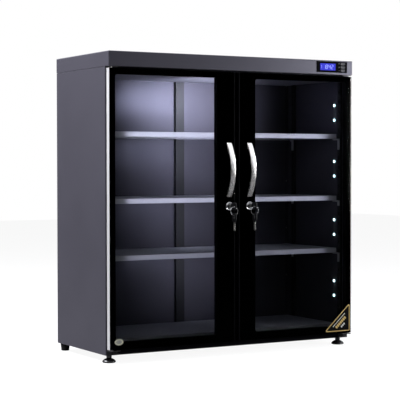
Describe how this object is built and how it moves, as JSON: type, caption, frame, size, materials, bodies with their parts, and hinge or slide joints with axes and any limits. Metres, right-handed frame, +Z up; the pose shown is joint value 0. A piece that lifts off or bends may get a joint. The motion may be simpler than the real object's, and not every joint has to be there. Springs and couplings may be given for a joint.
{
  "type": "camera dry cabinet",
  "caption": "Steel dry cabinet with glazed hinged doors, lit shelves, a drying unit and a control display, for storing cameras and lenses.",
  "frame": {"origin": "on the floor under the middle of the whole outline", "axes": "+X to the right seen from the front, +Y from the doors to the back, +Z up"},
  "size_m": [0.8, 0.385, 0.842],
  "materials": {
    "cabinet_black": "satin",
    "frame_black": "satin",
    "inner_grey": "satin",
    "shelf_grey": "satin",
    "door_glass": "gloss",
    "trim_silver": "satin",
    "seal_black": "matte",
    "handle_steel": "satin",
    "lock_chrome": "gloss",
    "key_black": "matte",
    "steel_bright": "satin",
    "bezel_black": "gloss",
    "display_blue": "gloss",
    "button_grey": "matte",
    "board_green": "matte",
    "supply_metal": "satin",
    "plastic_black": "matte",
    "plastic_white": "matte",
    "desiccant_beige": "matte",
    "lamp_white": "gloss",
    "foot_chrome": "gloss",
    "foot_rubber": "matte"
  },
  "bodies": {
    "root": {"top_cap": "cabinet_black", "side_panel_left": "cabinet_black", "side_panel_right": "cabinet_black", "back_panel": "cabinet_black", "base_pan": "inner_grey", "ceiling_panel": "inner_grey", "front_rails": "frame_black", "centre_mullion": "frame_black", "floor_tray": "inner_grey", "shelf_top": "shelf_grey", "shelf_middle": "shelf_grey", "shelf_lower": "shelf_grey", "shelf_uprights": "inner_grey", "shelf_clips": "steel_bright", "light_strips": "plastic_white", "light_lamps": "lamp_white", "control_bezel": "bezel_black", "lcd_display": "display_blue", "control_board": "board_green", "power_supply": "supply_metal", "power_inlet": "plastic_black", "humidity_sensor": "plastic_white", "dryer_case": "plastic_white", "dryer_cover": "plastic_white", "desiccant_pack": "desiccant_beige", "vent_grille": "plastic_black", "hinge_brackets": "frame_black", "hinge_pins": "steel_bright", "body_screws": "steel_bright", "rear_feet": "foot_rubber"},
    "button_set": {"button_set": "button_grey"},
    "button_up": {"button_up": "button_grey"},
    "button_down": {"button_down": "button_grey"},
    "foot_left": {"foot_left": "foot_chrome"},
    "foot_right": {"foot_right": "foot_chrome"},
    "dryer_flap": {"dryer_flap": "supply_metal"},
    "door_left": {"door_frame_left": "frame_black", "door_glass_left": "door_glass", "door_trim_left": "trim_silver", "door_seal_left": "seal_black", "handle_left": "handle_steel", "door_fixings_left": "steel_bright", "lock_barrel_left": "lock_chrome"},
    "lock_left": {"lock_plug_left": "lock_chrome", "lock_cam_left": "steel_bright"},
    "key_left": {"key_left": "key_black"},
    "ring_left": {"key_ring_left": "lock_chrome"},
    "spare_left": {"spare_key_left": "key_black"},
    "door_right": {"door_frame_right": "frame_black", "door_glass_right": "door_glass", "door_trim_right": "trim_silver", "door_seal_right": "seal_black", "handle_right": "handle_steel", "door_fixings_right": "steel_bright", "lock_barrel_right": "lock_chrome"},
    "lock_right": {"lock_plug_right": "lock_chrome", "lock_cam_right": "steel_bright"},
    "key_right": {"key_right": "key_black"},
    "ring_right": {"key_ring_right": "lock_chrome"},
    "spare_right": {"spare_key_right": "key_black"}
  },
  "joints": [
    {"name": "door_left_hinge", "type": "hinge", "parent": "root", "child": "door_left", "pos_m": [-0.39, -0.14625, 0.4], "axis": [0, 0, -1], "range_deg": [0, 110]},
    {"name": "lock_left_turn", "type": "hinge", "parent": "door_left", "child": "lock_left", "pos_m": [-0.0258, -0.15425, 0.42], "axis": [0, 1, 0], "range_deg": [0, 90]},
    {"name": "key_left_pull", "type": "slide", "parent": "lock_left", "child": "key_left", "axis": [0, -1, 0], "range_m": [0, 0.014]},
    {"name": "ring_left_swing", "type": "hinge", "parent": "key_left", "child": "ring_left", "pos_m": [-0.0258, -0.18225, 0.4187], "axis": [-1, 0, 0], "range_deg": [-10, 75]},
    {"name": "spare_left_swing", "type": "hinge", "parent": "ring_left", "child": "spare_left", "pos_m": [-0.0258, -0.18225, 0.3953], "axis": [-1, 0, 0], "range_deg": [-12, 30]},
    {"name": "foot_left_turn", "type": "hinge", "parent": "root", "child": "foot_left", "pos_m": [-0.3795, -0.10925, 0], "axis": [0, 0, 1], "continuous": true},
    {"name": "door_right_hinge", "type": "hinge", "parent": "root", "child": "door_right", "pos_m": [0.39, -0.14625, 0.4], "axis": [0, 0, 1], "range_deg": [0, 110]},
    {"name": "lock_right_turn", "type": "hinge", "parent": "door_right", "child": "lock_right", "pos_m": [0.0416, -0.15425, 0.42], "axis": [0, -1, 0], "range_deg": [0, 90]},
    {"name": "key_right_pull", "type": "slide", "parent": "lock_right", "child": "key_right", "axis": [0, -1, 0], "range_m": [0, 0.014]},
    {"name": "ring_right_swing", "type": "hinge", "parent": "key_right", "child": "ring_right", "pos_m": [0.0416, -0.18225, 0.4187], "axis": [-1, 0, 0], "range_deg": [-10, 75]},
    {"name": "spare_right_swing", "type": "hinge", "parent": "ring_right", "child": "spare_right", "pos_m": [0.0416, -0.18225, 0.3953], "axis": [-1, 0, 0], "range_deg": [-12, 30]},
    {"name": "foot_right_turn", "type": "hinge", "parent": "root", "child": "foot_right", "pos_m": [0.3795, -0.10925, 0], "axis": [0, 0, 1], "continuous": true},
    {"name": "button_set_press", "type": "slide", "parent": "root", "child": "button_set", "axis": [0, 1, 0], "range_m": [0, 0.0012], "stiffness_N_per_m": 800},
    {"name": "button_up_press", "type": "slide", "parent": "root", "child": "button_up", "axis": [0, 1, 0], "range_m": [0, 0.0012], "stiffness_N_per_m": 800},
    {"name": "button_down_press", "type": "slide", "parent": "root", "child": "button_down", "axis": [0, 1, 0], "range_m": [0, 0.0012], "stiffness_N_per_m": 800},
    {"name": "dryer_flap_swing", "type": "hinge", "parent": "root", "child": "dryer_flap", "pos_m": [0.18, 0.18575, 0.1202], "axis": [-1, 0, 0], "range_deg": [0, 40]}
  ]
}
